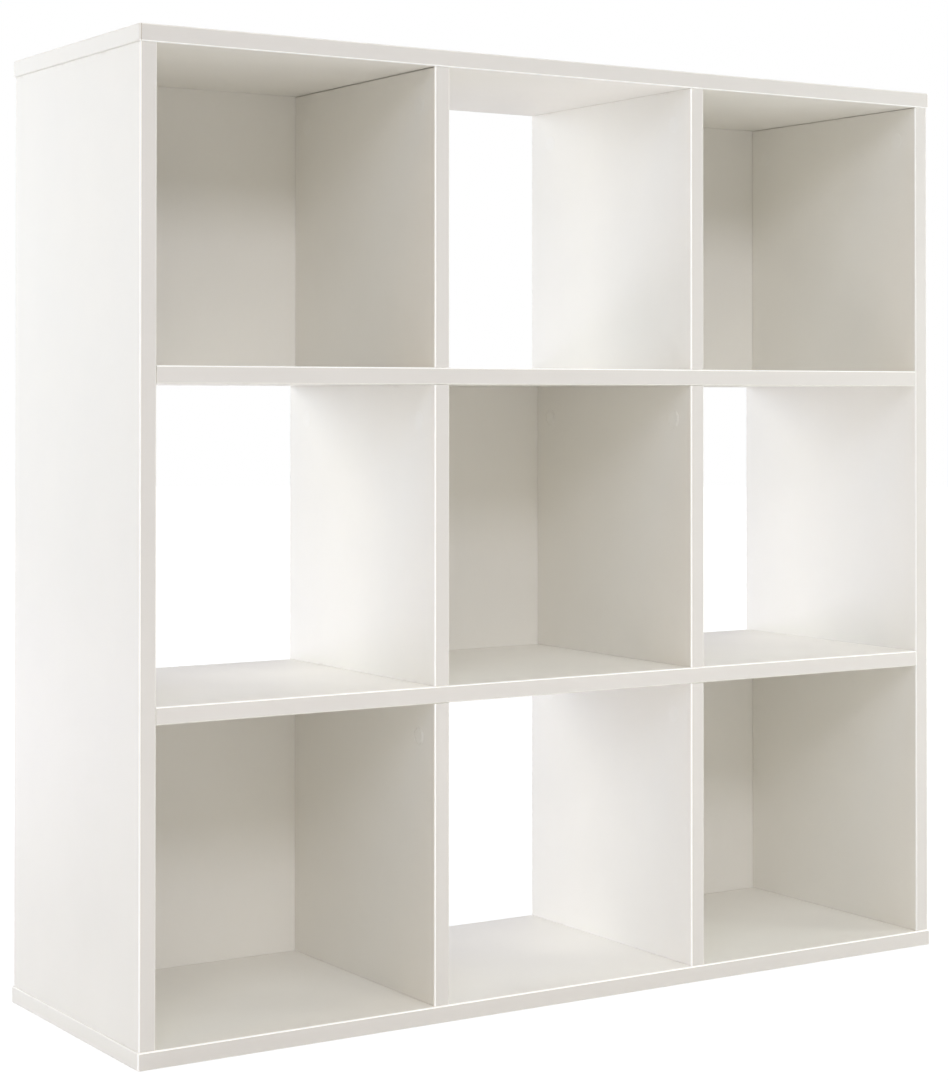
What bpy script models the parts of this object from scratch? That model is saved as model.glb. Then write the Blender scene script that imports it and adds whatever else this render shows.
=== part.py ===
"""Cube storage unit: nine cubes in three columns and three rows, made of white laminated board.

Two sides stand between a top and a bottom board. Two shelves run the full width, and six short
dividers stand between the boards. The corner cubes and the centre cube have a thin back let into
grooves; the other four are open right through. Cam locks hold the dividers' and sides' upper ends
and the shelves' ends, dowels locate the dividers' lower ends, and screws hold the sides from below.

X runs across the front, Y to the back and Z up. The origin is at the centre of the footprint, on
the floor. All sizes are in metres.
"""
import math

import bmesh
import bpy
from mathutils import Matrix, Vector

# Driving dimensions
HEIGHT = 0.914
BOARD = 0.016              # thickness of every board
DEPTH = 0.295              # sides, shelves and dividers, front to back
REVEAL = 0.0015            # top and bottom boards stand proud of the sides by this, all round
CELLS = 3                  # cubes each way
GAP = 0.0003               # left between pieces that meet

EDGE_RADIUS = 0.0011       # rounding of the edge banding
EDGE_SEGMENTS = 2

BACK_THICKNESS = 0.003
BACK_INSET = 0.0095        # rear edge of the boards to the rear face of a back
GROOVE_DEPTH = 0.005

CAM_RADIUS = 0.0075
CAM_DEPTH = 0.0125
CAM_SETBACK = 0.034        # cam's axis to the end of the board that holds it
CAM_FROM_FRONT = 0.030
CAM_FROM_REAR = 0.038
BOLT_RADIUS = 0.003
THREAD_RADIUS = 0.0025
THREAD_DEPTH = 0.010

DOWEL_RADIUS = 0.004
DOWEL_IN_BOARD = 0.010
DOWEL_IN_DIVIDER = 0.020
DOWEL_CHAMFER = 0.001
DOWEL_FROM_FRONT = 0.062
DOWEL_FROM_REAR = 0.070

SCREW_LENGTH = 0.050
SCREW_HEAD_RADIUS = 0.005
SCREW_HEAD_HEIGHT = 0.004
SCREW_RADIUS = 0.0033
SCREW_TIP_LENGTH = 0.004
SCREW_TIP_RADIUS = 0.0012
SCREW_SUNK = 0.001         # head below the underside of the bottom board
SCREW_FROM_FRONT = 0.048
SCREW_FROM_REAR = 0.058

CAM_SIDES = 16
PIN_SIDES = 8
SCREW_SIDES = 10
OVERCUT = 0.002            # a cutter starts this far outside the face that it cuts
SMOOTH_ANGLE = math.radians(50)

# Derived sizes
CELL = (HEIGHT - (CELLS + 1) * BOARD) / CELLS
PITCH = CELL + BOARD
SIDES_WIDTH = CELLS * CELL + (CELLS + 1) * BOARD
WIDTH = SIDES_WIDTH + 2 * REVEAL
FRONT = -DEPTH / 2
REAR = DEPTH / 2
GROOVE_FRONT = REAR - BACK_INSET - BACK_THICKNESS - GAP
GROOVE_REAR = REAR - BACK_INSET + GAP

COLUMN_NAMES = ("left", "centre", "right")
ROW_NAMES = ("bottom", "middle", "top")
DIVIDER_SIDES = ("left", "right")
CLOSED_CELLS = ((0, 0), (2, 0), (1, 1), (0, 2), (2, 2))

X_AXIS = Vector((1, 0, 0))
Z_AXIS = Vector((0, 0, 1))
ALONG_X = (0,)
ALONG_Z = (2,)
ALONG_ALL = (0, 1, 2)


def cell_low_x(column):
    """Left inner face of a column of cubes."""
    return -SIDES_WIDTH / 2 + BOARD + column * PITCH


def cell_low_z(row):
    """Floor of a row of cubes."""
    return BOARD + row * PITCH


def remove_everything():
    for old in list(bpy.data.objects):
        bpy.data.objects.remove(old, do_unlink=True)


def make_material(name, colour, roughness, metallic=0.0):
    material = bpy.data.materials.new(name)
    material.use_nodes = True
    shader = material.node_tree.nodes["Principled BSDF"]
    shader.inputs["Base Color"].default_value = (*colour, 1.0)
    shader.inputs["Roughness"].default_value = roughness
    shader.inputs["Metallic"].default_value = metallic
    return material


def add_box(mesh, low, high):
    """Add a closed box between two opposite corners."""
    made = bmesh.ops.create_cube(mesh, size=1.0)
    low, high = Vector(low), Vector(high)
    size = high - low
    for vert in made["verts"]:
        scaled = Vector(vert.co[axis] * size[axis] for axis in range(3))
        vert.co = (low + high) / 2 + scaled


def add_turned(mesh, origin, axis, profile, sides):
    """Add a closed turned solid; profile lists (distance along the axis, radius) end to end."""
    turn = axis.to_track_quat("Z", "X")
    rings = []
    for distance, radius in profile:
        ring = []
        for step in range(sides):
            angle = 2 * math.pi * (step + 0.5) / sides
            local = Vector((radius * math.cos(angle), radius * math.sin(angle), distance))
            ring.append(mesh.verts.new(origin + turn @ local))
        rings.append(ring)
    for lower, upper in zip(rings, rings[1:]):
        for step in range(sides):
            after = (step + 1) % sides
            mesh.faces.new((lower[step], lower[after], upper[after], upper[step]))
    mesh.faces.new(rings[0][::-1])
    mesh.faces.new(rings[-1])


def rod_profile(length, radius):
    return ((0.0, radius), (length, radius))


def finish_mesh(name, mesh, smooth=False):
    data = bpy.data.meshes.new(name)
    mesh.to_mesh(data)
    mesh.free()
    if smooth:
        data.shade_smooth()
        data.set_sharp_from_angle(angle=SMOOTH_ANGLE)
    return data


def add_object(name, data, location, parent, material=None):
    """Place an object at a point of the unit's frame, as a child of parent."""
    placed = bpy.data.objects.new(name, data)
    bpy.context.scene.collection.objects.link(placed)
    if material:
        placed.data.materials.clear()
        placed.data.materials.append(material)
    placed.parent = parent
    placed.location = location - parent.location
    return placed


class Board:
    """A flat board with banded edges, and the bores and grooves to be cut in it."""

    def __init__(self, name, low, high, material, unit, banded_axes):
        low, high = Vector(low), Vector(high)
        self.centre = (low + high) / 2
        mesh = bmesh.new()
        add_box(mesh, low - self.centre, high - self.centre)
        rounded = [edge for edge in mesh.edges if edge_axis(edge) in banded_axes]
        if rounded:
            bmesh.ops.bevel(mesh, geom=rounded, offset=EDGE_RADIUS, offset_type="OFFSET",
                            segments=EDGE_SEGMENTS, profile=0.5, affect="EDGES")
        self.object = add_object(name, finish_mesh(name, mesh), self.centre, unit, material)
        self.bores = bmesh.new()
        self.bolt_ways = bmesh.new()

    def bore(self, mouth, direction, profile, sides):
        """Bore in from a mouth point on the board's face."""
        (start, radius), *rest = profile
        profile = ((start - OVERCUT, radius), *rest)
        add_turned(self.bores, mouth - self.centre, direction, profile, sides)

    def bolt_way(self, start, direction, profile, sides):
        """Bore out from a cam's pocket to the end of the board."""
        add_turned(self.bolt_ways, start - self.centre, direction, profile, sides)

    def groove(self, low, high):
        add_box(self.bores, Vector(low) - self.centre, Vector(high) - self.centre)

    def cut(self):
        """Subtract the bores first, then the bolt ways that open into them."""
        for suffix, mesh in (("bores", self.bores), ("bolt_ways", self.bolt_ways)):
            if not mesh.verts:
                mesh.free()
                continue
            name = f"{self.object.name}_{suffix}_cutter"
            cutter = add_object(name, finish_mesh(name, mesh), self.centre, self.object)
            cutter.hide_render = True
            cutter.display_type = "WIRE"
            boolean = self.object.modifiers.new(suffix, "BOOLEAN")
            boolean.operation = "DIFFERENCE"
            boolean.solver = "EXACT"
            boolean.object = cutter


def edge_axis(edge):
    """Index of the axis that a box's edge runs along."""
    run = edge.verts[1].co - edge.verts[0].co
    return max(range(3), key=lambda axis: abs(run[axis]))


def make_boards(white, unit):
    """The top, bottom, sides, shelves and dividers, by name."""
    boards = {}

    def board(name, low, high, banded_axes):
        boards[name] = Board(name, low, high, white, unit, banded_axes)

    outer_x = WIDTH / 2
    outer_y = DEPTH / 2 + REVEAL
    side_x = SIDES_WIDTH / 2
    board("bottom_board", (-outer_x, -outer_y, 0), (outer_x, outer_y, BOARD), ALONG_ALL)
    board("top_board", (-outer_x, -outer_y, HEIGHT - BOARD), (outer_x, outer_y, HEIGHT), ALONG_ALL)
    side_low_z = BOARD + GAP
    side_high_z = HEIGHT - BOARD - GAP
    board("side_panel_left", (-side_x, FRONT, side_low_z), (BOARD - side_x, REAR, side_high_z), ALONG_Z)
    board("side_panel_right", (side_x - BOARD, FRONT, side_low_z), (side_x, REAR, side_high_z), ALONG_Z)
    shelf_x = side_x - BOARD - GAP
    for row, name in ((1, "shelf_lower"), (2, "shelf_upper")):
        top = cell_low_z(row)
        board(name, (-shelf_x, FRONT, top - BOARD), (shelf_x, REAR, top), ALONG_X)
    for row, row_name in enumerate(ROW_NAMES):
        low_z = cell_low_z(row) + GAP
        high_z = cell_low_z(row) + CELL - GAP
        for column, side_name in enumerate(DIVIDER_SIDES):
            low_x = cell_low_x(column) + CELL
            name = f"divider_{row_name}_{side_name}"
            board(name, (low_x, FRONT, low_z), (low_x + BOARD, REAR, high_z), ALONG_Z)
    return boards


def wall_names(column, row):
    """The boards at the left, right, bottom and top of a cube."""
    row_name = ROW_NAMES[row]
    left = "side_panel_left" if column == 0 else f"divider_{row_name}_{DIVIDER_SIDES[column - 1]}"
    right = "side_panel_right" if column == CELLS - 1 else f"divider_{row_name}_{DIVIDER_SIDES[column]}"
    floors = ("bottom_board", "shelf_lower", "shelf_upper", "top_board")
    return left, right, floors[row], floors[row + 1]


def make_back(column, row, boards, hardboard, unit):
    """A thin back with its four edges let into grooves in the boards around it."""
    low_x, low_z = cell_low_x(column), cell_low_z(row)
    high_x, high_z = low_x + CELL, low_z + CELL
    tongue = GROOVE_DEPTH - GAP
    place = "centre" if (column, row) == (1, 1) else f"{ROW_NAMES[row]}_{COLUMN_NAMES[column]}"
    Board(f"back_panel_{place}",
          (low_x - tongue, GROOVE_FRONT + GAP, low_z - tongue),
          (high_x + tongue, GROOVE_REAR - GAP, high_z + tongue), hardboard, unit, ())
    left, right, floor, ceiling = (boards[name] for name in wall_names(column, row))
    groove_x = (low_x - GROOVE_DEPTH, high_x + GROOVE_DEPTH)
    groove_z = (low_z - GROOVE_DEPTH, high_z + GROOVE_DEPTH)
    left.groove((groove_x[0], GROOVE_FRONT, groove_z[0]), (low_x + OVERCUT, GROOVE_REAR, groove_z[1]))
    right.groove((high_x - OVERCUT, GROOVE_FRONT, groove_z[0]), (groove_x[1], GROOVE_REAR, groove_z[1]))
    floor.groove((groove_x[0], GROOVE_FRONT, groove_z[0]), (groove_x[1], GROOVE_REAR, low_z + OVERCUT))
    ceiling.groove((groove_x[0], GROOVE_FRONT, high_z - OVERCUT), (groove_x[1], GROOVE_REAR, groove_z[1]))


def cam_lock_mesh():
    """A cam with the bolt that it grips; the bolt points up and the cam's face looks along -X.

    The origin is where the cam's axis crosses the bolt's.
    """
    face = BOARD / 2 - GAP
    bolt_start = CAM_RADIUS / 2
    thread_start = CAM_SETBACK - GAP
    tip = CAM_SETBACK + THREAD_DEPTH
    cam = bmesh.new()
    add_turned(cam, Vector((-face, 0, 0)), X_AXIS, rod_profile(CAM_DEPTH, CAM_RADIUS), CAM_SIDES)
    bolt = bmesh.new()
    profile = ((bolt_start, BOLT_RADIUS), (thread_start - GAP, BOLT_RADIUS),
               (thread_start, THREAD_RADIUS), (tip, THREAD_RADIUS))
    add_turned(bolt, Vector((0, 0, 0)), Z_AXIS, profile, PIN_SIDES)
    cam_object = bpy.data.objects.new("cam", finish_mesh("cam", cam))
    bolt_object = bpy.data.objects.new("bolt", finish_mesh("bolt", bolt))
    for loose in (cam_object, bolt_object):
        bpy.context.scene.collection.objects.link(loose)
    union = cam_object.modifiers.new("bolt", "BOOLEAN")
    union.operation = "UNION"
    union.solver = "EXACT"
    union.object = bolt_object
    evaluated = cam_object.evaluated_get(bpy.context.evaluated_depsgraph_get())
    joined = bpy.data.meshes.new_from_object(evaluated)
    joined.name = "cam_lock"
    joined.shade_smooth()
    joined.set_sharp_from_angle(angle=SMOOTH_ANGLE)
    for loose in (cam_object, bolt_object):
        bpy.data.objects.remove(loose, do_unlink=True)
    return joined


def add_cam_lock(name, data, holder, mate, seat, inward, toward_mate, metal):
    """Let a cam into the holder at seat, a point on its face, and bolt it to the mate's face."""
    pocket_depth = CAM_DEPTH + 2 * GAP
    holder.bore(seat, inward, rod_profile(pocket_depth, CAM_RADIUS + GAP), CAM_SIDES)
    centre = seat + inward * BOARD / 2
    way = rod_profile(CAM_SETBACK + OVERCUT, BOLT_RADIUS + GAP)
    holder.bolt_way(centre, toward_mate, way, PIN_SIDES)
    socket = rod_profile(THREAD_DEPTH + GAP, THREAD_RADIUS + GAP)
    mate.bore(centre + toward_mate * CAM_SETBACK, toward_mate, socket, PIN_SIDES)
    lock = add_object(name, data, centre, holder.object, metal)
    across = toward_mate.cross(inward)
    turn = Matrix((inward, across, toward_mate)).transposed()
    lock.rotation_euler = turn.to_euler()


def front_and_rear(from_front, from_rear):
    """Y of a pair of fixings, by the name of the end that each is near."""
    return (("front", FRONT + from_front), ("rear", REAR - from_rear))


def lock_dividers(boards, data, metal):
    """Cams in the dividers' left faces, near their upper ends, bolted up into the board above."""
    for row, row_name in enumerate(ROW_NAMES):
        for column, side_name in enumerate(DIVIDER_SIDES):
            holder = boards[f"divider_{row_name}_{side_name}"]
            mate = boards[wall_names(column, row)[3]]
            for end, y in front_and_rear(CAM_FROM_FRONT, CAM_FROM_REAR):
                seat = Vector((cell_low_x(column) + CELL, y, cell_low_z(row) + CELL - CAM_SETBACK))
                add_cam_lock(f"cam_lock_divider_{row_name}_{side_name}_{end}", data, holder, mate,
                             seat, X_AXIS, Z_AXIS, metal)


def lock_sides(boards, data, metal):
    """Cams in the sides' inner faces, near their upper ends, bolted up into the top board."""
    inner_x = SIDES_WIDTH / 2 - BOARD
    for side_name, sign in (("left", -1), ("right", 1)):
        holder = boards[f"side_panel_{side_name}"]
        for end, y in front_and_rear(CAM_FROM_FRONT, CAM_FROM_REAR):
            seat = Vector((sign * inner_x, y, HEIGHT - BOARD - CAM_SETBACK))
            add_cam_lock(f"cam_lock_side_{side_name}_{end}", data, holder, boards["top_board"],
                         seat, sign * X_AXIS, Z_AXIS, metal)


def lock_shelves(boards, data, metal):
    """Cams in the shelves' undersides, near their ends, bolted out into the sides."""
    inner_x = SIDES_WIDTH / 2 - BOARD
    for row, shelf_name in ((1, "shelf_lower"), (2, "shelf_upper")):
        for side_name, sign in (("left", -1), ("right", 1)):
            mate = boards[f"side_panel_{side_name}"]
            for end, y in front_and_rear(CAM_FROM_FRONT, CAM_FROM_REAR):
                seat = Vector((sign * (inner_x - CAM_SETBACK), y, cell_low_z(row) - BOARD))
                add_cam_lock(f"cam_lock_{shelf_name}_{side_name}_{end}", data, boards[shelf_name],
                             mate, seat, Z_AXIS, sign * X_AXIS, metal)


def pin_dividers(boards, beech):
    """Dowels between the dividers' lower ends and the boards that they stand on."""
    length = DOWEL_IN_BOARD + DOWEL_IN_DIVIDER
    tip_radius = DOWEL_RADIUS - DOWEL_CHAMFER
    profile = ((0.0, tip_radius), (DOWEL_CHAMFER, DOWEL_RADIUS),
               (length - DOWEL_CHAMFER, DOWEL_RADIUS), (length, tip_radius))
    mesh = bmesh.new()
    add_turned(mesh, Vector((0, 0, -DOWEL_IN_BOARD)), Z_AXIS, profile, PIN_SIDES)
    data = finish_mesh("dowel", mesh, smooth=True)
    for row, row_name in enumerate(ROW_NAMES):
        for column, side_name in enumerate(DIVIDER_SIDES):
            divider = boards[f"divider_{row_name}_{side_name}"]
            floor = boards[wall_names(column, row)[2]]
            for end, y in front_and_rear(DOWEL_FROM_FRONT, DOWEL_FROM_REAR):
                foot = Vector((cell_low_x(column) + CELL + BOARD / 2, y, cell_low_z(row)))
                radius = DOWEL_RADIUS + GAP
                floor.bore(foot, -Z_AXIS, rod_profile(DOWEL_IN_BOARD + GAP, radius), PIN_SIDES)
                divider.bore(foot, Z_AXIS, rod_profile(DOWEL_IN_DIVIDER + GAP, radius), PIN_SIDES)
                add_object(f"dowel_divider_{row_name}_{side_name}_{end}", data, foot,
                           divider.object, beech)


def screw_profile(clearance):
    """A countersunk screw from its head to its tip, or the hole for it if given a clearance."""
    return ((0.0, SCREW_HEAD_RADIUS + clearance),
            (SCREW_HEAD_HEIGHT + clearance, SCREW_RADIUS + clearance),
            (SCREW_LENGTH - SCREW_TIP_LENGTH + clearance, SCREW_RADIUS + clearance),
            (SCREW_LENGTH + clearance, SCREW_TIP_RADIUS + clearance))


def screw_sides(boards, steel):
    """Screws up through the bottom board into the sides' lower ends."""
    mesh = bmesh.new()
    add_turned(mesh, Vector((0, 0, 0)), Z_AXIS, screw_profile(0.0), SCREW_SIDES)
    data = finish_mesh("screw", mesh, smooth=True)
    bottom = boards["bottom_board"]
    hole = screw_profile(GAP)
    inner_hole = rod_profile(SCREW_LENGTH + SCREW_SUNK - BOARD, SCREW_RADIUS + GAP)
    sunk_hole = tuple((SCREW_SUNK + distance, radius) for distance, radius in hole)
    mouth = ((0.0, hole[0][1]),)
    for side_name, sign in (("left", -1), ("right", 1)):
        side = boards[f"side_panel_{side_name}"]
        for end, y in front_and_rear(SCREW_FROM_FRONT, SCREW_FROM_REAR):
            head = Vector((sign * (SIDES_WIDTH - BOARD) / 2, y, 0))
            bottom.bore(head, Z_AXIS, mouth + sunk_hole, SCREW_SIDES)
            side.bore(head + Z_AXIS * BOARD, Z_AXIS, inner_hole, SCREW_SIDES)
            add_object(f"screw_side_{side_name}_{end}", data, head + Z_AXIS * SCREW_SUNK,
                       side.object, steel)


def main():
    remove_everything()
    unit = bpy.data.objects.new("cube_storage_unit", None)
    bpy.context.scene.collection.objects.link(unit)
    white = make_material("white_laminate", (0.82, 0.81, 0.78), 0.42)
    hardboard = make_material("white_hardboard", (0.78, 0.77, 0.74), 0.5)
    zinc = make_material("zinc_alloy", (0.62, 0.62, 0.6), 0.4, 1.0)
    steel = make_material("plated_steel", (0.66, 0.64, 0.58), 0.35, 1.0)
    beech = make_material("beech", (0.66, 0.47, 0.28), 0.65)
    boards = make_boards(white, unit)
    for column, row in CLOSED_CELLS:
        make_back(column, row, boards, hardboard, unit)
    lock = cam_lock_mesh()
    lock_dividers(boards, lock, zinc)
    lock_sides(boards, lock, zinc)
    lock_shelves(boards, lock, zinc)
    pin_dividers(boards, beech)
    screw_sides(boards, steel)
    for board in boards.values():
        board.cut()


main()
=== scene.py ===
import math

import bmesh
import bpy
from mathutils import Matrix, Vector


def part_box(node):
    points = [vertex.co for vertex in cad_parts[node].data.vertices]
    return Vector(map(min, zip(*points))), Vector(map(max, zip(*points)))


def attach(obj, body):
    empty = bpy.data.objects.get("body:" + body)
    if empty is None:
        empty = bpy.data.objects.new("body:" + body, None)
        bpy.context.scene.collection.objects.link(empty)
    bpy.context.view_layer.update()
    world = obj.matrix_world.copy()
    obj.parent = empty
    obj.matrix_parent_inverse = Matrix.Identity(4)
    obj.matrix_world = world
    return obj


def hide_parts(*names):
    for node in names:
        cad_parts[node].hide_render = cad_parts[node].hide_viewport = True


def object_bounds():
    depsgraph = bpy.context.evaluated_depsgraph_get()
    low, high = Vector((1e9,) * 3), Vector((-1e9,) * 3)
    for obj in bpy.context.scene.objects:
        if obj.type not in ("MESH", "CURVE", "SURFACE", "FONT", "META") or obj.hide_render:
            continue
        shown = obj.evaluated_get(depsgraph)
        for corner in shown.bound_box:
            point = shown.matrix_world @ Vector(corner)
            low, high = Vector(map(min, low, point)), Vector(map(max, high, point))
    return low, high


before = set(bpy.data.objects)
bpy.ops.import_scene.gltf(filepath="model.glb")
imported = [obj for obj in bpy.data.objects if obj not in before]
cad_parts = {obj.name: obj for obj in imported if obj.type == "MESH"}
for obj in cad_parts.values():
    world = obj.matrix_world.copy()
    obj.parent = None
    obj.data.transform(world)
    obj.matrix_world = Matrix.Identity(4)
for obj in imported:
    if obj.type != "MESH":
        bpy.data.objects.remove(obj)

# A white cube storage unit: its boards, backs, cam covers and screws, and the studio round them.
# All lengths are in metres, in the model's frame: X to the right, Y to the rear, Z up.

# Boards
EDGE_RADIUS = 0.0015            # rounding of the long edges
EDGE_STEPS = 6
LEAST_RADIUS = 0.00015          # of an edge, where it is drawn in towards an end
END_CHAMFER = 0.0002            # cut ends that meet another board
END_STEPS = 2
END_REACH = 0.0002              # cut ends come this much nearer to the board that they meet
BACK_RADIUS = 0.0003            # rounding of a back's edges
SEAM_START = 0.0017             # where the top board's front edging meets its left end's edging
SEAM_WIDTH = 0.0003
SEAM_DEPTH = 0.0005

# Joints under the top board that stand open along the wall's left face: height of the slit
SLITS = {"divider_top_left": 0.00045, "side_panel_right": 0.00025}
SLIT_DEPTH = 0.004
SLIT_START = 0.0025             # behind the front edge

# Bores
BORE_PLAY = 0.0003              # between a bore or groove and what sits in it
BORE_SIDES = 32
PIN_BORE_SIDES = 16             # bores for bolts and dowels
OVERCUT = 0.002                 # a cutter starts this far outside the face that it cuts

# Covers over the cam fittings
COVER_RADIUS = 0.0088
COVER_RIM = 0.0003              # rounding of the rim
COVER_RIM_STEPS = 6
COVER_SIDES = 48
COVER_LIFT = 0.00003            # off the face of the board
RING_OUTER = 0.0083             # sunk ring inside the rim
RING_INNER = 0.0070
DISH_RADIUS = 0.00396           # slightly hollow middle
DISH_SLOPE = 0.00003
DISH_DEPTH = 0.0001
COVER = (0.0004, 0.0001)        # height of a cover, and depth of its ring
PROUD_COVERS = {                # covers that aren't pressed fully home
    "divider_middle_right_rear": (0.0007, 0.0005),
    "divider_middle_right_front": (0.0006, 0.0002),
    "divider_bottom_left_front": (0.0007, 0.0005),
}

# Screws up into the sides
HEAD_RADIUS = 0.005
HEAD_HEIGHT = 0.004
HEAD_EASE = 0.0003              # corner round the head
SHANK_RADIUS = 0.0033
THREAD_ROOT = 0.0025            # radius between the threads
THREAD_PITCH = 0.003
THREAD_START = 0.010
THREAD_FLAT = (0.3, 0.7)        # the root's flat, as shares of the pitch
TIP_LENGTH = 0.004
TIP_RADIUS = 0.0012
SOCKET_RADIUS = 0.0023          # hexagonal socket, to its corners
SOCKET_SIDES = 6
SOCKET_DEPTH = 0.003
SCREW_SIDES = 32

# Shading, and which faces are edging or the trimmed corner with its painted highlight
SMOOTH_ANGLE = math.radians(35)
BAND_FACING = math.cos(math.radians(8))
HIGHLIGHT_FACING = 0.12

cad_low, cad_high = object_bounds()


# ---------------------------------------------------------------- camera

EYE = (-1.3430, -2.1404, 0.5852)
YAW = 0.58067                   # turned from straight ahead towards the right
PITCH = 0.01022                 # tilted up
FOCAL = 2.2847                  # focal length over the long side of the picture
SHIFT = (-0.0648, -0.1540)
SENSOR = 36.0
CLIP = (0.05, 200.0)


def add_camera():
    data = bpy.data.cameras.new("camera")
    data.sensor_width = SENSOR
    data.lens = FOCAL * SENSOR
    data.shift_x, data.shift_y = SHIFT
    data.clip_start, data.clip_end = CLIP
    camera = bpy.data.objects.new("camera", data)
    camera.location = EYE
    camera.rotation_euler = (math.pi / 2 + PITCH, 0.0, -YAW)
    bpy.context.scene.collection.objects.link(camera)
    bpy.context.scene.camera = camera


# ---------------------------------------------------------------- materials

class Graph:
    """Adds nodes to a material or world."""

    def __init__(self, owner):
        owner.use_nodes = True
        self.tree = owner.node_tree
        self.tree.nodes.clear()

    def node(self, kind, inputs=None, **settings):
        n = self.tree.nodes.new(kind)
        for key, value in settings.items():
            setattr(n, key, value)
        for key, value in (inputs or {}).items():
            if isinstance(value, bpy.types.NodeSocket):
                self.tree.links.new(value, n.inputs[key])
            else:
                n.inputs[key].default_value = value
        return n

    def math(self, operation, a, b):
        return self.node("ShaderNodeMath", {0: a, 1: b}, operation=operation).outputs[0]

    def vector(self, operation, a, b):
        return self.node("ShaderNodeVectorMath", {0: a, 1: b}, operation=operation).outputs["Vector"]

    def noise(self, vector, scale, detail, roughness):
        n = self.node("ShaderNodeTexNoise", {"Vector": vector, "Scale": scale, "Detail": detail,
                                             "Roughness": roughness})
        return n.outputs["Fac"]

    def spread(self, value, low, high):
        """value from 0..1 to low..high."""
        n = self.node("ShaderNodeMapRange", {"Value": value, "To Min": low, "To Max": high})
        return n.outputs["Result"]

    def window(self, value, start, end, low=0.0, high=1.0):
        """low before start, high after end, with a smooth change between them."""
        n = self.node("ShaderNodeMapRange", {"Value": value, "From Min": start, "From Max": end,
                                             "To Min": low, "To Max": high},
                      interpolation_type="SMOOTHSTEP")
        return n.outputs["Result"]

    def mix(self, share, a, b, blend="MIX"):
        n = self.node("ShaderNodeMix", {0: share, 6: a, 7: b}, data_type="RGBA", blend_type=blend)
        return n.outputs[2]


def colour(r, g, b):
    return (r, g, b, 1.0)


# Colours
WHITE = (0.889, 0.8665, 0.813)
EDGING_SHADED = (0.728, 0.697, 0.656)          # a little greyer than the faces: painted shade on the fronts, which get less light
PRIMED_SHADED = (0.745, 0.705, 0.615)          # the backs' rear faces and the boards' rear edging: a primer tone, made darker as painted shade against the strong light from behind
TRIM_HIGHLIGHT = (0.970, 0.960, 0.935)            # the trimmed corner of the edging, lighter than the foil as a painted highlight
RUBBED = (0.70, 0.665, 0.60)            # where foil is rubbed
STREAK = (1.0, 0.992, 0.975)            # a faint shade over the foil, along its grain
FIBRE = (0.985, 0.975, 0.955)           # the same over a back, from its pressed fibre
FLAKES = ((0.42, 0.29, 0.17), (0.64, 0.50, 0.33))
FLAKE_SHADE = (0.30, 0.21, 0.13)
BEECH = ((0.52, 0.35, 0.20), (0.72, 0.54, 0.35))
BEECH_FLECK = (0.33, 0.20, 0.11)
ZINC = ((0.46, 0.47, 0.49), (0.66, 0.67, 0.69))
STEEL = ((0.55, 0.55, 0.56), (0.74, 0.74, 0.75))
# Darker steel inside the screws' hex sockets: painted shade in the recess
SOCKET_STEEL_SHADED = ((0.30, 0.30, 0.31), (0.45, 0.45, 0.46))

# The trimmed corners' faint glow is a painted highlight, standing in for the light that a polished corner
# catches
HIGHLIGHT_GLOW_TINT = (1.0, 0.985, 0.96)
TRIM_HIGHLIGHT_GLOW = 0.14
# How strong the painted highlight's glow is on some boards
TRIM_HIGHLIGHT_GLOWS = {"top_board": 0.08, "side_panel_right": 0.0}

# Noise scales, in features per metre
CLOUDS, STREAKS, PORES, PEBBLE, RUBS = 9.0, 160.0, 1400.0, 900.0, 45.0      # foil
PANEL_CLOUDS, PANEL_FIBRE, PANEL_PEEL = 7.0, 420.0, 750.0                   # backs
CHIP_FLAKES, CHIP_DUST = 520.0, 1500.0                                      # raw board
MOULD_CLOUDS, MOULD_GRAIN = 60.0, 2600.0                                    # covers
BEECH_GRAIN, BEECH_FLECKS = 900.0, 2200.0                                   # dowels
ZINC_MOTTLE, STEEL_MOTTLE = 400.0, 300.0
FINE_MOTTLE = 9.0                       # how much finer than the mottle

# How much slower a pattern changes along the grain than across it
FOIL_DRAWN, FIBRE_DRAWN, BEECH_DRAWN, FLECK_DRAWN = 0.12, 0.35, 0.08, 0.3

# Bump: strength and height
FOIL_BUMP = (0.16, 0.00012)
CHIP_BUMP = (0.6, 0.0004)
PANEL_BUMP = (0.22, 0.00015)
MOULD_BUMP = (0.25, 0.00008)
METAL_BUMP = (0.3, 0.00006)
BEECH_BUMP = (0.4, 0.0002)

EDGE_WEAR = (0.0004, 0.0035)            # distances from an edge: all the wear, none of it
FACE_WEAR = 0.30                        # how far the rubbed places go towards their own colour
TRIM_WEAR = 0.08
FOIL_SHIFT = (1.37, 2.11, 0.73)         # moves the pattern from one seed to the next
PANEL_SHIFT = (0.91, 1.7, 2.3)
SEED_STEP = 20                          # between the skins of one board


def tinted(base, factor):
    return colour(*(min(1.0, c * factor) for c in base))


def surface(name, build, **shader):
    """A material whose build function returns the sockets or values for its shader."""
    material = bpy.data.materials.new(name)
    g = Graph(material)
    place = g.node("ShaderNodeTexCoord").outputs["Object"]
    inputs = dict(shader)
    inputs.update(build(g, place))
    shader_node = g.node("ShaderNodeBsdfPrincipled", inputs)
    g.node("ShaderNodeOutputMaterial", {"Surface": shader_node.outputs[0]})
    return material


def bump(g, height, strength, distance):
    return g.node("ShaderNodeBump", {"Height": height, "Strength": strength,
                                     "Distance": distance}).outputs["Normal"]


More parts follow.
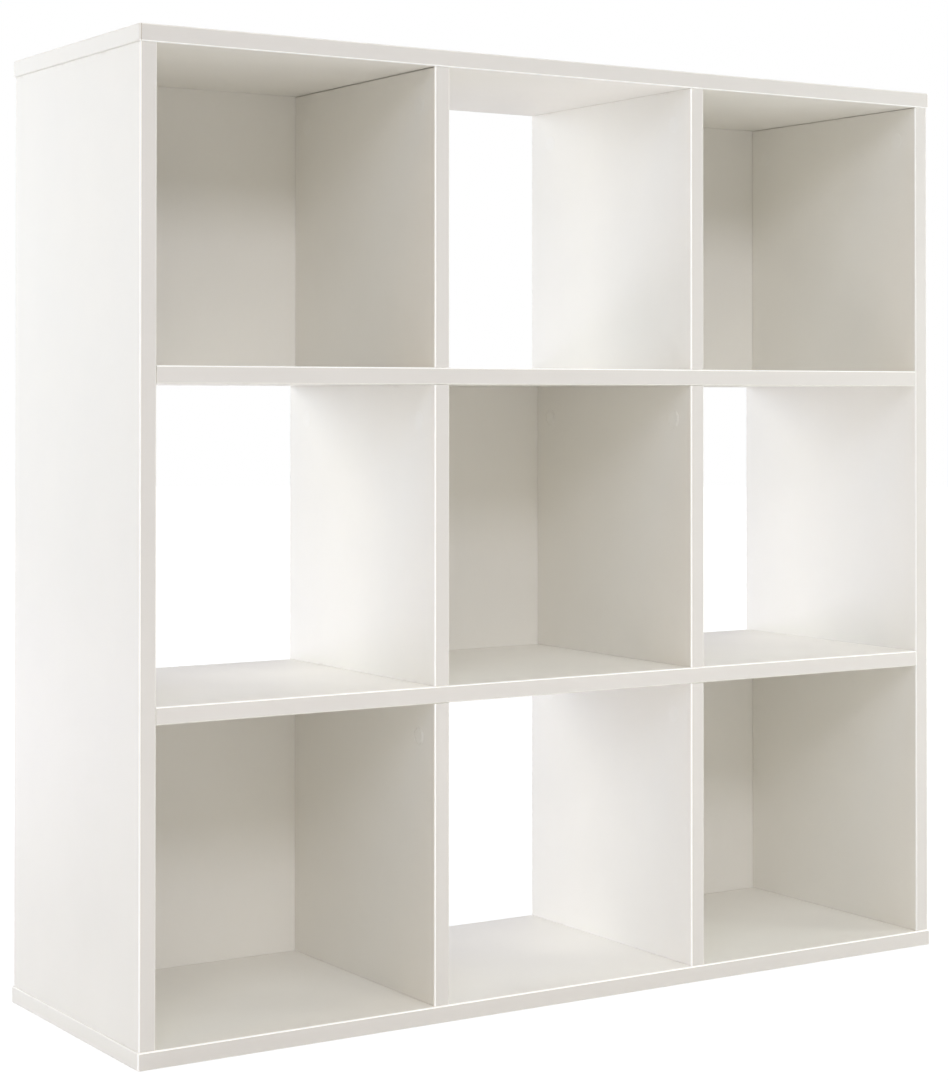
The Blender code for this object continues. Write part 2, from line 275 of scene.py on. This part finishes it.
def nearest_edge(g, place, low, high):
    """Distance from a point on a box's surface to the box's nearest edge."""
    centre = (Vector(low) + Vector(high)) / 2
    half = (Vector(high) - Vector(low)) / 2
    from_centre = g.node("ShaderNodeVectorMath", {0: g.vector("SUBTRACT", place, tuple(centre))},
                         operation="ABSOLUTE").outputs["Vector"]
    depth = g.node("ShaderNodeSeparateXYZ", {"Vector": g.vector("SUBTRACT", tuple(half), from_centre)})
    x, y, z = depth.outputs
    shallow, deep = g.math("MINIMUM", x, y), g.math("MAXIMUM", x, y)
    return g.math("MAXIMUM", shallow, g.math("MINIMUM", deep, z))


def shifted_by(g, place, seed, shift):
    return g.vector("ADD", place, tuple(seed * step for step in shift))


def laminate(name, low, high, grain, seed, base=WHITE, wear=FACE_WEAR, glow=0.0):
    """White foil over particleboard: faint clouds and pores drawn out along the grain, and rubbed edges."""

    def build(g, place):
        shifted = shifted_by(g, place, seed, FOIL_SHIFT)
        along = [1.0, 1.0, 1.0]
        along[grain] = FOIL_DRAWN
        drawn = g.vector("MULTIPLY", shifted, tuple(along))
        clouds = g.noise(shifted, CLOUDS, 3.0, 0.55)
        streaks = g.noise(drawn, STREAKS, 4.0, 0.6)
        pores = g.noise(drawn, PORES, 2.0, 0.5)
        pebble = g.noise(shifted, PEBBLE, 3.0, 0.6)
        edge = g.window(nearest_edge(g, place, low, high), *EDGE_WEAR, 1.0, 0.0)
        rubbed = g.math("MULTIPLY", edge, g.window(g.noise(shifted, RUBS, 4.0, 0.65), 0.50, 0.72))
        tint = g.mix(g.spread(clouds, 0.0, 1.0), tinted(base, 0.968), tinted(base, 1.030))
        tint = g.mix(g.spread(streaks, 0.0, 0.55), tint, colour(*STREAK), "MULTIPLY")
        tint = g.mix(g.math("MULTIPLY", rubbed, wear), tint, colour(*RUBBED))
        gloss = g.math("ADD", g.spread(clouds, 0.46, 0.56), g.math("MULTIPLY", pores, 0.08))
        gloss = g.math("ADD", gloss, g.math("MULTIPLY", rubbed, 0.12))
        relief = g.math("ADD", g.math("MULTIPLY", pebble, 0.6), g.math("MULTIPLY", streaks, 0.4))
        return {"Base Color": tint, "Roughness": gloss, "Normal": bump(g, relief, *FOIL_BUMP)}

    # The emission is used only as a painted highlight on the trimmed corners
    return surface(name, build, **{"IOR": 1.5, "Specular IOR Level": 0.42,
                                   "Emission Color": colour(*HIGHLIGHT_GLOW_TINT), "Emission Strength": glow})


def chipboard(name):
    """Raw particleboard inside bores and grooves."""

    def build(g, place):
        flakes = g.node("ShaderNodeTexVoronoi", {"Vector": place, "Scale": CHIP_FLAKES, "Randomness": 1.0})
        depth = flakes.outputs["Distance"]
        dust = g.noise(place, CHIP_DUST, 3.0, 0.6)
        tint = g.mix(g.spread(depth, 0.0, 1.0), *(colour(*c) for c in FLAKES))
        tint = g.mix(g.spread(dust, 0.0, 0.35), tint, colour(*FLAKE_SHADE))
        height = g.math("ADD", depth, g.math("MULTIPLY", dust, 0.5))
        return {"Base Color": tint, "Roughness": g.spread(dust, 0.82, 0.95),
                "Normal": bump(g, height, *CHIP_BUMP)}

    return surface(name, build)


def hardboard(name, seed, base):
    """A thin back, lacquered, with the faint screen of pressed fibre under the lacquer."""

    def build(g, place):
        shifted = shifted_by(g, place, seed, PANEL_SHIFT)
        clouds = g.noise(shifted, PANEL_CLOUDS, 3.0, 0.6)
        fibre = g.noise(g.vector("MULTIPLY", shifted, (1.0, 1.0, FIBRE_DRAWN)), PANEL_FIBRE, 4.0, 0.65)
        peel = g.noise(shifted, PANEL_PEEL, 2.0, 0.5)
        tint = g.mix(g.spread(clouds, 0.0, 1.0), tinted(base, 0.965), tinted(base, 1.030))
        tint = g.mix(g.spread(fibre, 0.0, 0.6), tint, colour(*FIBRE), "MULTIPLY")
        relief = g.math("ADD", g.math("MULTIPLY", fibre, 0.5), g.math("MULTIPLY", peel, 0.5))
        return {"Base Color": tint, "Roughness": g.spread(fibre, 0.46, 0.60),
                "Normal": bump(g, relief, *PANEL_BUMP)}

    return surface(name, build, **{"Specular IOR Level": 0.4})


def moulded_plastic(name):
    """The covers: white polypropylene with a fine spark-eroded grain."""

    def build(g, place):
        grain = g.noise(place, MOULD_GRAIN, 3.0, 0.6)
        clouds = g.noise(place, MOULD_CLOUDS, 2.0, 0.5)
        tint = g.mix(g.spread(clouds, 0.0, 1.0), tinted(WHITE, 0.985), tinted(WHITE, 1.025))
        return {"Base Color": tint, "Roughness": g.spread(grain, 0.46, 0.58),
                "Normal": bump(g, grain, *MOULD_BUMP)}

    return surface(name, build)


def bare_metal(name, tones, scale, low_gloss, high_gloss):
    """Zinc or steel, with the mottle of casting or plating."""

    def build(g, place):
        mottle = g.noise(place, scale, 4.0, 0.6)
        fine = g.noise(place, scale * FINE_MOTTLE, 2.0, 0.5)
        tint = g.mix(g.spread(mottle, 0.0, 1.0), *(colour(*c) for c in tones))
        return {"Base Color": tint, "Roughness": g.spread(fine, low_gloss, high_gloss),
                "Normal": bump(g, fine, *METAL_BUMP)}

    return surface(name, build, Metallic=1.0)


def beech(name):
    """Dowel wood: fine grain along the pin, with short dark flecks."""

    def build(g, place):
        grain = g.noise(g.vector("MULTIPLY", place, (1.0, 1.0, BEECH_DRAWN)), BEECH_GRAIN, 4.0, 0.6)
        flecks = g.noise(g.vector("MULTIPLY", place, (1.0, 1.0, FLECK_DRAWN)), BEECH_FLECKS, 2.0, 0.5)
        tint = g.mix(g.spread(grain, 0.0, 1.0), *(colour(*c) for c in BEECH))
        tint = g.mix(g.window(flecks, 0.60, 0.68, 0.0, 0.5), tint, colour(*BEECH_FLECK))
        return {"Base Color": tint, "Roughness": g.spread(grain, 0.55, 0.75),
                "Normal": bump(g, grain, *BEECH_BUMP)}

    return surface(name, build)


# ---------------------------------------------------------------- board meshes

X, Y, Z = 0, 1, 2
FACE, RAW, EDGE, HIGHLIGHT_CORNER, REAR_EDGE = range(5)       # a board's materials; cuts are RAW; the corner material carries a painted highlight


def rounded_outline(width, height, radius, steps):
    """A rectangle with rounded corners, centred, anticlockwise."""
    points = []
    for quarter, (sx, sy) in enumerate(((1, 1), (-1, 1), (-1, -1), (1, -1))):
        cx, cy = sx * (width / 2 - radius), sy * (height / 2 - radius)
        for i in range(steps + 1):
            a = math.pi / 2 * (quarter + i / steps)
            points.append((cx + radius * math.cos(a), cy + radius * math.sin(a)))
    return points


def end_profile(round_over, steps):
    """(distance from the end, how far the outline is drawn in), from the end inwards."""
    return [(round_over * (1 - math.sin(math.pi / 2 * i / steps)),
             round_over * (1 - math.cos(math.pi / 2 * i / steps))) for i in range(steps, -1, -1)]


def rounded_board(low, high, axis, radius, ends, steps):
    """A board with its long edges along axis rounded by radius and its two ends by ends."""
    u, v = [i for i in (X, Y, Z) if i != axis]
    if axis == Y:
        u, v = v, u
    size = Vector(high) - Vector(low)
    centre = (Vector(low) + Vector(high)) / 2
    profile = end_profile(ends, steps)
    stations = [(low[axis] + t, inset) for t, inset in profile]
    stations += [(high[axis] - t, inset) for t, inset in reversed(profile)]
    bm = bmesh.new()
    loops = []
    for position, inset in stations:
        inner = max(radius - inset, LEAST_RADIUS)
        ring = []
        for a, b in rounded_outline(size[u] - 2 * inset, size[v] - 2 * inset, inner, EDGE_STEPS):
            co = Vector((0.0, 0.0, 0.0))
            co[axis] = position
            co[u] = centre[u] + a
            co[v] = centre[v] + b
            ring.append(bm.verts.new(co))
        loops.append(ring)
    count = len(loops[0])
    for one, two in zip(loops, loops[1:]):
        for i in range(count):
            j = (i + 1) % count
            bm.faces.new((one[i], one[j], two[j], two[i]))
    bm.faces.new(list(reversed(loops[0])))
    bm.faces.new(loops[-1])
    bmesh.ops.recalc_face_normals(bm, faces=bm.faces)
    return bm


def box_mesh(low, high):
    bm = bmesh.new()
    bmesh.ops.create_cube(bm, size=1.0)
    for v in bm.verts:
        v.co = Vector([low[i] if v.co[i] < 0 else high[i] for i in (X, Y, Z)])
    return bm


def rod_mesh(start, end, radius, sides):
    """A round rod from start to end."""
    start, end = Vector(start), Vector(end)
    bm = bmesh.new()
    bmesh.ops.create_cone(bm, cap_ends=True, segments=sides, radius1=radius, radius2=radius,
                          depth=(end - start).length)
    turn = Vector((0, 0, 1)).rotation_difference(end - start).to_matrix().to_4x4()
    bm.transform(Matrix.Translation((start + end) / 2) @ turn)
    return bm


def new_object(name, bm, *materials):
    mesh = bpy.data.meshes.new(name)
    bm.to_mesh(mesh)
    bm.free()
    for m in materials:
        mesh.materials.append(m)
    obj = bpy.data.objects.new(name, mesh)
    bpy.context.scene.collection.objects.link(obj)
    return obj


def cut(obj, cutters):
    """Takes each cutter mesh out of obj. The faces that a cutter leaves take obj's second material."""
    for bm in cutters:
        for f in bm.faces:
            f.material_index = RAW
        tool = new_object("cutter", bm, *obj.data.materials)
        modifier = obj.modifiers.new("cut", "BOOLEAN")
        modifier.operation = "DIFFERENCE"
        modifier.solver = "EXACT"
        modifier.object = tool
        bpy.context.view_layer.update()
        graph = bpy.context.evaluated_depsgraph_get()
        old = obj.data
        obj.data = bpy.data.meshes.new_from_object(obj.evaluated_get(graph), depsgraph=graph)
        obj.modifiers.remove(modifier)
        bpy.data.meshes.remove(old)
        spent = tool.data
        bpy.data.objects.remove(tool)
        bpy.data.meshes.remove(spent)


def shade(obj):
    """Smooth shading over the rounded edges, with the flat faces kept flat."""
    mesh = obj.data
    for p in mesh.polygons:
        p.use_smooth = True
    mesh.set_sharp_from_angle(angle=SMOOTH_ANGLE)
    modifier = obj.modifiers.new("flat faces", "WEIGHTED_NORMAL")
    modifier.keep_sharp = True
    modifier.weight = 100


def overlaps(a, b):
    return all(a[0][i] < b[1][i] and b[0][i] < a[1][i] for i in (X, Y, Z))


# ---------------------------------------------------------------- fittings, from the frame

CAM_RADIUS = 0.0075
CAM_DEPTH = 0.0125
BOLT_RADIUS = 0.0030

nodes = sorted(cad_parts)
boxes = {n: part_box(n) for n in nodes}
boards = [n for n in nodes if n.startswith(("top_board", "bottom_board", "side_panel", "shelf", "divider"))]
backs = [n for n in nodes if n.startswith("back_panel")]
cams = [n for n in nodes if n.startswith("cam_lock")]
dowels = [n for n in nodes if n.startswith("dowel")]
screws = [n for n in nodes if n.startswith("screw")]


def cam_place(node):
    """(centre of the cam's open face, direction out of the board, direction towards the mate)."""
    low, high = boxes[node]
    middle = (low + high) / 2
    if "shelf" in node:
        mate = Vector((-1 if "_left_" in node else 1, 0, 0))
        out = Vector((0, 0, -1))
        along = low.x if mate.x > 0 else high.x
        return Vector((along + mate.x * CAM_RADIUS, middle.y, low.z)), out, mate
    mate = Vector((0, 0, 1))
    out = Vector((1, 0, 0)) if "side_left" in node else Vector((-1, 0, 0))
    face = high.x if out.x > 0 else low.x
    return Vector((face, middle.y, low.z + CAM_RADIUS)), out, mate


def lathe(profile, sides):
    """A closed turned body about Z. The profile runs from the axis out and back to the axis."""
    bm = bmesh.new()
    rings = []
    for r, z in profile:
        if r == 0.0:
            rings.append([bm.verts.new((0.0, 0.0, z))])
        else:
            rings.append([bm.verts.new((r * math.cos(2 * math.pi * i / sides),
                                        r * math.sin(2 * math.pi * i / sides), z)) for i in range(sides)])
    for one, two in zip(rings, rings[1:]):
        for i in range(sides):
            j = (i + 1) % sides
            if len(one) == 1:
                bm.faces.new((one[0], two[i], two[j]))
            elif len(two) == 1:
                bm.faces.new((one[i], one[j], two[0]))
            else:
                bm.faces.new((one[i], one[j], two[j], two[i]))
    bmesh.ops.recalc_face_normals(bm, faces=bm.faces)
    return bm


def at_screw(bm, node):
    """Moves a screw's mesh, built from its head upwards, to its place."""
    low, high = boxes[node]
    bm.transform(Matrix.Translation(((low.x + high.x) / 2, (low.y + high.y) / 2, low.z)))
    return bm


def screw_bore(node):
    end = boxes[node][1].z - boxes[node][0].z + BORE_PLAY
    head, shank = HEAD_RADIUS + BORE_PLAY, SHANK_RADIUS + BORE_PLAY
    profile = [(0.0, -OVERCUT), (head, -OVERCUT), (head, 0.0), (shank, HEAD_HEIGHT),
               (shank, end), (0.0, end)]
    return at_screw(lathe(profile, SCREW_SIDES), node)


def screw_profile(length):
    """From the middle of the head, up over the threads, to the tip."""
    points = [(0.0, 0.0), (HEAD_RADIUS - HEAD_EASE, 0.0), (HEAD_RADIUS, HEAD_EASE),
              (SHANK_RADIUS, HEAD_HEIGHT), (SHANK_RADIUS, THREAD_START)]
    down, up = (THREAD_PITCH * share for share in THREAD_FLAT)
    z = THREAD_START
    while z + THREAD_PITCH < length - TIP_LENGTH:
        points += [(THREAD_ROOT, z + down), (THREAD_ROOT, z + up), (SHANK_RADIUS, z + THREAD_PITCH)]
        z += THREAD_PITCH
    return points + [(THREAD_ROOT, z + down), (THREAD_ROOT, length - TIP_LENGTH),
                     (TIP_RADIUS, length), (0.0, length)]


def add_screw(node, steel, socket):
    low, high = boxes[node]
    bm = at_screw(lathe(screw_profile(high.z - low.z), SCREW_SIDES), node)
    piece = new_object(node.replace("screw", "fixing"), bm, steel, socket)
    tool = rod_mesh((0.0, 0.0, -OVERCUT), (0.0, 0.0, SOCKET_DEPTH), SOCKET_RADIUS, SOCKET_SIDES)
    cut(piece, [at_screw(tool, node)])
    shade(piece)
    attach(piece, "root")
    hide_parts(node)


def bores_for(board):
    """Every hole and groove in a board."""
    cutters = []
    met = [n for n in nodes if overlaps(boxes[board], boxes[n])]
    for n in (n for n in cams if n in met):
        low, high = boxes[n]
        face, out, mate = cam_place(n)
        centre = face - out * CAM_DEPTH / 2
        reach = max(abs((high - low).dot(mate)) - CAM_RADIUS, 0.0) + BORE_PLAY
        if n.startswith("cam_lock_" + board.replace("_panel", "")):
            cutters.append(rod_mesh(face + out * OVERCUT, face - out * (CAM_DEPTH + BORE_PLAY),
                                    CAM_RADIUS + BORE_PLAY, BORE_SIDES))
        cutters.append(rod_mesh(centre, centre + mate * reach, BOLT_RADIUS + BORE_PLAY, PIN_BORE_SIDES))
    for n in (n for n in dowels if n in met):
        low, high = boxes[n]
        x, y, z = (low + high) / 2
        cutters.append(rod_mesh((x, y, low.z - BORE_PLAY), (x, y, high.z + BORE_PLAY),
                                (high.x - low.x) / 2 + BORE_PLAY, PIN_BORE_SIDES))
    cutters += [screw_bore(n) for n in screws if n in met]
    play = Vector((BORE_PLAY, BORE_PLAY, BORE_PLAY))
    cutters += [box_mesh(boxes[n][0] - play, boxes[n][1] + play) for n in backs if n in met]
    return cutters


# ---------------------------------------------------------------- the boards

def board_axis(node):
    """The way a board runs."""
    return X if node in ("top_board", "bottom_board") or node.startswith("shelf") else Z


def highlighted_corner(node):
    """The way its trimmed corner with the painted highlight faces, besides forwards."""
    if node == "top_board":
        return Vector((0, 0, -1))
    return Vector((0, 0, 1)) if board_axis(node) == X else Vector((-1, 0, 0))


def slits_for(node):
    """Cutters for a joint that stands open, and for the seam between two edgings."""
    low, high = boxes[node]
    cutters = []
    if node in SLITS:
        cutters.append(box_mesh((low.x - OVERCUT, low.y + SLIT_START, high.z - SLITS[node]),
                                (low.x + SLIT_DEPTH, high.y - SLIT_DEPTH, high.z + OVERCUT)))
    if node == "top_board":
        left = low.x + SEAM_START
        cutters.append(box_mesh((left, low.y - OVERCUT, low.z - OVERCUT),
                                (left + SEAM_WIDTH, low.y + SEAM_DEPTH, high.z + OVERCUT)))
    return cutters


def mark_faces(bm, node):
    """Edging on the front and rear, and the front's trimmed corner, which gets a painted highlight on one
    side only.
    """
    corner = highlighted_corner(node)
    bm.normal_update()
    for f in bm.faces:
        forwards = -f.normal.y
        turned = f.normal.dot(corner)
        if node == "bottom_board":
            turned = max(turned, -f.normal.x)
        if forwards > BAND_FACING:
            f.material_index = EDGE
        elif forwards < -BAND_FACING:
            f.material_index = REAR_EDGE
        elif forwards > HIGHLIGHT_FACING and turned > HIGHLIGHT_FACING:
            f.material_index = HIGHLIGHT_CORNER


def add_board(node, seed, raw):
    low, high = (v.copy() for v in boxes[node])
    axis = board_axis(node)
    whole = node in ("top_board", "bottom_board")
    if not whole:
        low[axis] -= END_REACH
        high[axis] += END_REACH
    # The front and rear edging skins are darker as painted shade, and the trim skin is lighter as a painted
    # highlight
    skins = (laminate("laminate_" + node, low, high, axis, seed),
             raw,
             laminate("edging_" + node, low, high, axis, seed + SEED_STEP, EDGING_SHADED),
             laminate("trim_" + node, low, high, axis, seed + 2 * SEED_STEP, TRIM_HIGHLIGHT, TRIM_WEAR,
                      TRIM_HIGHLIGHT_GLOWS.get(node, TRIM_HIGHLIGHT_GLOW)),
             laminate("edging_rear_" + node, low, high, axis, seed + 3 * SEED_STEP, PRIMED_SHADED))
    ends, steps = (EDGE_RADIUS, EDGE_STEPS) if whole else (END_CHAMFER, END_STEPS)
    bm = rounded_board(low, high, axis, EDGE_RADIUS, ends, steps)
    mark_faces(bm, node)
    piece = new_object("board_" + node, bm, *skins)
    cut(piece, bores_for(node) + slits_for(node))
    shade(piece)
    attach(piece, "root")
    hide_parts(node)


def add_back(node, seed):
    low, high = boxes[node]
    bm = rounded_board(low, high, X, BACK_RADIUS, BACK_RADIUS, END_STEPS)
    bm.normal_update()
    for f in bm.faces:
        if f.normal.y > BAND_FACING:
            f.material_index = 1
    piece = new_object("back_" + node.replace("back_panel_", ""), bm,
                       hardboard("hardboard_" + node, seed, WHITE),
                       hardboard("hardboard_rear_" + node, seed + SEED_STEP, PRIMED_SHADED))
    shade(piece)
    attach(piece, "root")
    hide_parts(node)


def cover_profile(height, ring_depth):
    """Flat underneath, a rolled rim, a sunk ring and a slightly dished middle."""
    points = [(0.0, 0.0), (COVER_RADIUS, 0.0)]
    for i in range(COVER_RIM_STEPS + 1):
        a = math.pi / 2 * i / COVER_RIM_STEPS
        points.append((COVER_RADIUS - COVER_RIM * (1 - math.cos(a)),
                       height - COVER_RIM * (1 - math.sin(a))))
    return points + [(RING_OUTER, height), (RING_OUTER, height - ring_depth),
                     (RING_INNER, height - ring_depth), (RING_INNER - ring_depth / 2, height),
                     (DISH_RADIUS, height - DISH_SLOPE), (0.0, height - DISH_DEPTH)]


def add_cover(node, plastic):
    face, out, _ = cam_place(node)
    turn = Vector((0, 0, 1)).rotation_difference(out).to_matrix().to_4x4()
    bm = lathe(cover_profile(*PROUD_COVERS.get(node.replace("cam_lock_", ""), COVER)), COVER_SIDES)
    bm.transform(Matrix.Translation(face + out * COVER_LIFT) @ turn)
    piece = new_object(node.replace("cam_lock", "cover"), bm, plastic)
    shade(piece)
    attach(piece, "root")


# ---------------------------------------------------------------- studio

FLOOR_RADIUS = 14.0
FLOOR_SIDES = 96
FLOOR_DROP = 0.0002                     # below the unit
FLOOR_NEAR, FLOOR_FAR = 0.8, 3.2        # between these the floor fades into the background
FLOOR_TONES = (0.90, 0.93)
FLOOR_GRAIN = 3.0
NEAR_GLOW = (0.15, 0.80)                # the near floor's share of glow: for the unit, and as it is seen
FLOOR_GLOW = (0.464, 1.12)              # strength of the glow, in the same order
SEEN_WHITE = 1.0                        # the background as it is seen

# Soft boxes: place, aim, width, height, watts, tint, and how widely it shines if not all round
MIDDLE = (0.0, 0.0, 0.45)
SOFT_BOXES = {
    "high_left": ((-2.2, -2.6, 3.0), MIDDLE, 1.6, 1.6, 20.4, (0.827, 0.883, 1.000)),
    "high_middle": ((0.2, -2.6, 3.2), MIDDLE, 1.6, 1.6, 24.8, (0.984, 1.000, 0.964)),
    "front": ((-0.91, -3.41, 2.33), MIDDLE, 0.7, 0.7, 32.1, (0.904, 0.910, 1.000)),
    "beside_camera": ((-2.2, -3.4, 1.2), MIDDLE, 1.5, 1.5, 10.6, (1.000, 0.937, 0.792)),
    "right_near": ((1.5, -1.0, 0.7), MIDDLE, 0.6, 0.8, 7.0, (0.951, 1.000, 0.962)),
    "right_side": ((3.4, 0.15, 1.1), MIDDLE, 1.2, 1.2, 22.0, (1.0, 1.0, 1.0)),
    "left_side": ((-2.6, -0.6, 2.4), (-0.4, 0.0, 0.6), 0.8, 0.8, 5.2, (1.000, 0.666, 0.295)),
    "left_rear": ((-1.8, 1.2, 1.0), MIDDLE, 0.8, 0.8, 10.8, (1.000, 0.998, 0.929)),
    "rear": ((-1.6, 2.6, 0.9), MIDDLE, 1.4, 1.4, 19.4, (0.655, 0.803, 1.000)),
    "rear_floor": ((-0.3, 1.3, 0.12), (0.0, 0.1, 0.8), 1.4, 0.3, 5.3, (0.834, 0.808, 1.000)),
    "front_floor": ((0.0, -0.75, 0.03), (0.0, 0.0, 0.9), 1.6, 0.3, 1.7, (1.000, 0.952, 0.912)),
    "overhead": ((0.0, 0.0, 1.9), (0.0, 0.0, 0.9), 1.0, 0.36, 0.25, (1.0, 1.0, 1.0), math.radians(30)),
}

# Soft light from all round: direction that it comes from, colour at its strongest
SURROUND = (
    ((0.0, 1.0, 0.0), (0.539, 0.543, 0.650)),
    ((0.0, 0.0, 1.0), (0.414, 0.410, 0.410)),
)


def add_floor():
    """A round pale floor that fades into the background well away from the unit."""
    bm = bmesh.new()
    bmesh.ops.create_circle(bm, cap_ends=True, segments=FLOOR_SIDES, radius=FLOOR_RADIUS)
    material = bpy.data.materials.new("floor")
    g = Graph(material)
    place = g.node("ShaderNodeTexCoord").outputs["Object"]
    away = g.node("ShaderNodeVectorMath", {0: place}, operation="LENGTH").outputs["Value"]
    grain = g.noise(place, FLOOR_GRAIN, 3.0, 0.5)
    tint = g.mix(grain, *(colour(tone, tone, tone) for tone in FLOOR_TONES))
    matt = g.node("ShaderNodeBsdfDiffuse", {"Color": tint})
    seen = g.node("ShaderNodeLightPath").outputs["Is Camera Ray"]
    glow = g.node("ShaderNodeEmission", {"Color": colour(1, 1, 1), "Strength": g.spread(seen, *FLOOR_GLOW)})
    fade = g.window(away, FLOOR_NEAR, FLOOR_FAR)
    share = g.spread(fade, g.spread(seen, *NEAR_GLOW), 1.0)
    blend = g.node("ShaderNodeMixShader", {0: share, 1: matt.outputs[0], 2: glow.outputs[0]})
    g.node("ShaderNodeOutputMaterial", {"Surface": blend.outputs[0]})
    floor = new_object("floor", bm, material)
    floor.location.z = cad_low.z - FLOOR_DROP


def add_light(name, location, target, width, height, power, tint, spread=math.pi):
    data = bpy.data.lights.new(name, "AREA")
    data.shape = "RECTANGLE"
    data.size, data.size_y = width, height
    data.energy = power
    data.color = tint
    data.spread = spread
    light = bpy.data.objects.new(name, data)
    light.location = location
    aim = Vector(target) - Vector(location)
    light.rotation_euler = aim.to_track_quat("-Z", "Y").to_euler()
    light.visible_camera = False
    bpy.context.scene.collection.objects.link(light)


def add_world():
    """Soft light that is stronger from some sides, against a plain white background."""
    world = bpy.data.worlds.new("studio")
    g = Graph(world)
    direction = g.node("ShaderNodeTexCoord").outputs["Generated"]
    total = (0.0, 0.0, 0.0)
    for source, strength in SURROUND:
        facing = g.node("ShaderNodeVectorMath", {0: direction, 1: source}, operation="DOT_PRODUCT")
        share = g.math("MAXIMUM", facing.outputs["Value"], 0.0)
        lit = g.node("ShaderNodeVectorMath", {0: strength, "Scale": share}, operation="SCALE")
        total = g.vector("ADD", lit.outputs["Vector"], total)
    seen = g.node("ShaderNodeLightPath").outputs["Is Camera Ray"]
    shown = g.mix(seen, total, colour(SEEN_WHITE, SEEN_WHITE, SEEN_WHITE))
    glow = g.node("ShaderNodeBackground", {"Color": shown})
    g.node("ShaderNodeOutputWorld", {"Surface": glow.outputs[0]})
    bpy.context.scene.world = world


def main():
    bpy.context.scene.view_settings.view_transform = "Standard"
    add_camera()
    raw = chipboard("chipboard")
    plastic = moulded_plastic("cover_plastic")
    for seed, node in enumerate(boards):
        add_board(node, seed + 1, raw)
    for seed, node in enumerate(backs):
        add_back(node, seed + 1)
    for node in cams:
        add_cover(node, plastic)
    steel = bare_metal("plated_steel", STEEL, STEEL_MOTTLE, 0.22, 0.36)
    # The sockets' darker steel is painted shade in the recess
    socket = bare_metal("socket_steel", SOCKET_STEEL_SHADED, STEEL_MOTTLE, 0.40, 0.55)
    for node in screws:
        add_screw(node, steel, socket)
    zinc = bare_metal("zinc_casting", ZINC, ZINC_MOTTLE, 0.34, 0.52)
    for names, material in ((cams, zinc), (dowels, beech("beech"))):
        for n in names:
            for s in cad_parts[n].material_slots:
                s.material = material
    add_floor()
    add_world()
    for name, settings in SOFT_BOXES.items():
        add_light(name, *settings)


main()
